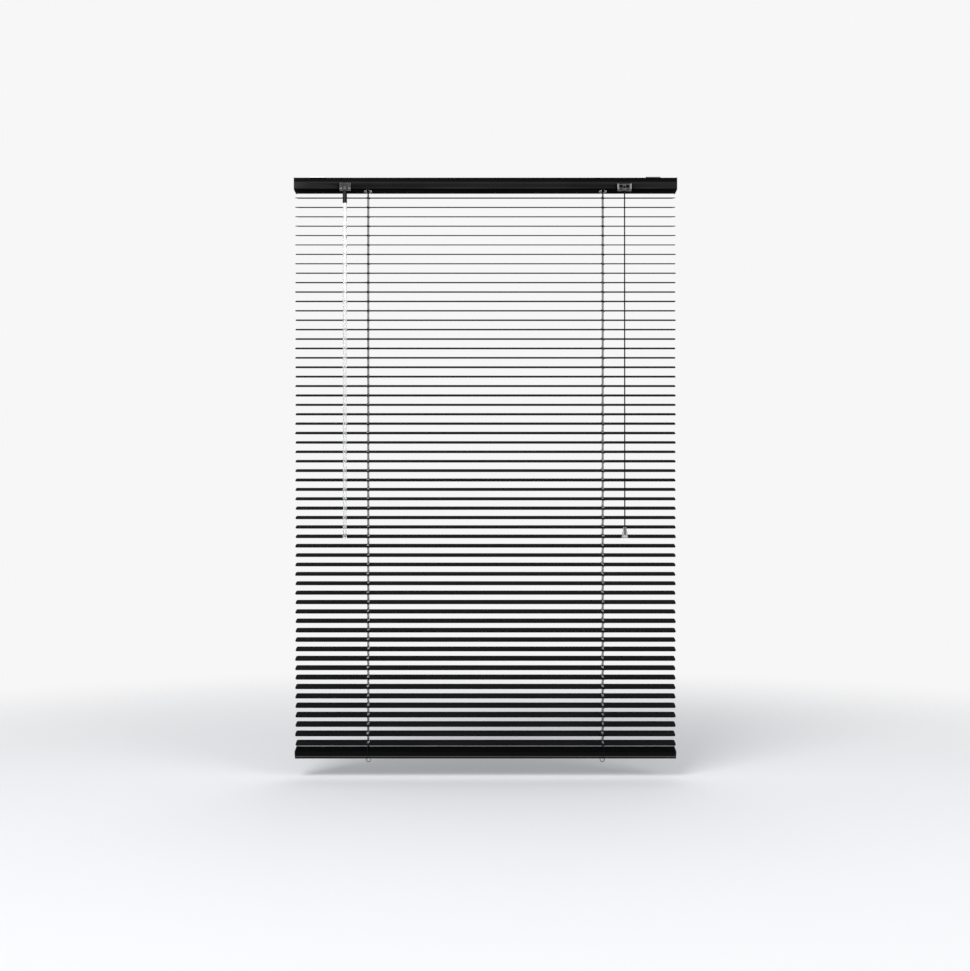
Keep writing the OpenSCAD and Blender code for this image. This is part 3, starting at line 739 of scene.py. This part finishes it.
# ---------------------------------------------------------------- floor
# A round pale floor lies just under the blind. It thins out to nothing with distance from
# the blind, so it has no edge against the background.
def floor_finish():
    """A matt pale grey that turns clear with distance from the middle."""
    material = bpy.data.materials.new("pale_floor")
    material.use_nodes = True
    nodes, links = material.node_tree.nodes, material.node_tree.links
    shader = nodes["Principled BSDF"]
    shader.inputs["Base Color"].default_value = (0.86, 0.86, 0.87, 1)
    shader.inputs["Roughness"].default_value = 0.9
    shader.inputs["Specular IOR Level"].default_value = 0.1
    place = nodes.new("ShaderNodeTexCoord")
    distance = nodes.new("ShaderNodeVectorMath")
    distance.operation = "LENGTH"
    fade = nodes.new("ShaderNodeMapRange")
    fade.interpolation_type = "SMOOTHSTEP"
    fade.inputs["From Min"].default_value = 0.5
    fade.inputs["From Max"].default_value = 2.6
    clear_away = nodes.new("ShaderNodeBsdfTransparent")
    mix = nodes.new("ShaderNodeMixShader")
    links.new(place.outputs["Object"], distance.inputs[0])
    links.new(distance.outputs["Value"], fade.inputs["Value"])
    links.new(fade.outputs["Result"], mix.inputs["Fac"])
    links.new(shader.outputs["BSDF"], mix.inputs[1])
    links.new(clear_away.outputs["BSDF"], mix.inputs[2])
    links.new(mix.outputs["Shader"], nodes["Material Output"].inputs["Surface"])
    return material


floor_shape = bmesh.new()
bmesh.ops.create_circle(floor_shape, cap_ends=True, segments=64, radius=2.7)
floor = piece_of("floor", floor_shape, floor_finish())
floor.location = (0, 0, cad_box[0].z - 0.03)


# ---------------------------------------------------------------- light
# A large soft lamp high on the left, a weaker one on the right and one behind, and an even
# pale background that also shows through clear plastic but is dim in reflections.
def soft_lamp(name, place, aim, size, power):
    """A square lamp of size metres that shines power watts from place toward aim."""
    lamp = bpy.data.objects.new(name, bpy.data.lights.new(name, "AREA"))
    lamp.data.size = size
    lamp.data.energy = power
    lamp.location = place
    lamp.rotation_euler = (Vector(aim) - Vector(place)).to_track_quat("-Z", "Y").to_euler()
    bpy.context.scene.collection.objects.link(lamp)
    return lamp


soft_lamp("key_lamp", (-1.1, -2.0, 1.2), (0, 0, -0.6), 1.6, 52)
soft_lamp("fill_lamp", (1.9, -1.7, 0.3), (0, 0, -0.7), 1.4, 18)
window_lamp = soft_lamp("window_lamp", (0.3, 2.2, 1.2), (0, 0, -0.9), 2.0, 14)
window_lamp.visible_glossy = False

world = bpy.data.worlds.new("studio")
world.use_nodes = True
bpy.context.scene.world = world
world_nodes, world_links = world.node_tree.nodes, world.node_tree.links
ambient = world_nodes["Background"]
ambient.inputs["Color"].default_value = (0.95, 0.97, 1.0, 1)
backdrop = world_nodes.new("ShaderNodeBackground")
backdrop.inputs["Color"].default_value = (0.93, 0.93, 0.935, 1)
backdrop.inputs["Strength"].default_value = 1
rays = world_nodes.new("ShaderNodeLightPath")
seen = world_nodes.new("ShaderNodeMath")
seen.operation = "MAXIMUM"
dimmed = world_nodes.new("ShaderNodeMapRange")
dimmed.inputs["To Min"].default_value = 0.55
dimmed.inputs["To Max"].default_value = 0.2
choice = world_nodes.new("ShaderNodeMixShader")
world_links.new(rays.outputs["Is Camera Ray"], seen.inputs[0])
world_links.new(rays.outputs["Is Transmission Ray"], seen.inputs[1])
world_links.new(rays.outputs["Is Glossy Ray"], dimmed.inputs["Value"])
world_links.new(dimmed.outputs["Result"], ambient.inputs["Strength"])
world_links.new(seen.outputs["Value"], choice.inputs["Fac"])
world_links.new(ambient.outputs["Background"], choice.inputs[1])
world_links.new(backdrop.outputs["Background"], choice.inputs[2])
world_links.new(choice.outputs["Shader"], world_nodes["World Output"].inputs["Surface"])
bpy.context.scene.view_settings.view_transform = "Standard"
